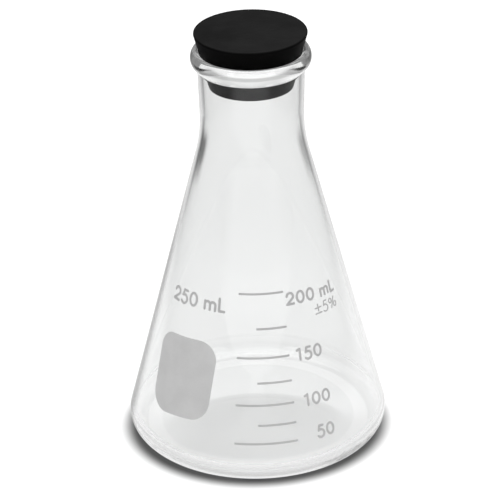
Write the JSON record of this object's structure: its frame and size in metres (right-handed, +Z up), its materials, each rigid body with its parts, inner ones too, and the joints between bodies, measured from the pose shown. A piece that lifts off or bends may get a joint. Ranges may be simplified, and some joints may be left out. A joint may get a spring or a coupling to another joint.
{
  "type": "erlenmeyer flask with stopper",
  "caption": "Conical glass laboratory flask with a beaded mouth, a fired enamel volume scale and marking spot, closed by a tapered solid rubber stopper that lifts out.",
  "frame": {"origin": "on the flask's axis at the level of the bench it stands on", "axes": "+Z up the flask's axis towards the mouth; -Y is the side that carries the volume scale"},
  "size_m": [0.0828, 0.0828, 0.1364],
  "materials": {
    "borosilicate_glass": "clear, fire-polished",
    "black_rubber": "matte moulded",
    "fired_enamel": "satin fired ceramic ink"
  },
  "bodies": {
    "flask": {"flask_body": "borosilicate_glass", "marking_spot": "fired_enamel", "graduation_50_ml": "fired_enamel", "graduation_75_ml": "fired_enamel", "graduation_100_ml": "fired_enamel", "graduation_125_ml": "fired_enamel", "graduation_150_ml": "fired_enamel", "graduation_175_ml": "fired_enamel", "graduation_200_ml": "fired_enamel", "numeral_50": "fired_enamel", "numeral_100": "fired_enamel", "numeral_150": "fired_enamel", "numeral_200_ml": "fired_enamel", "tolerance_mark": "fired_enamel", "capacity_250_ml": "fired_enamel"},
    "stopper": {"rubber_stopper": "black_rubber"}
  },
  "joints": [
    {"name": "stopper_lift", "type": "slide", "parent": "flask", "child": "stopper", "axis": [0, 0, 1], "range_m": [0, 0.04]}
  ]
}
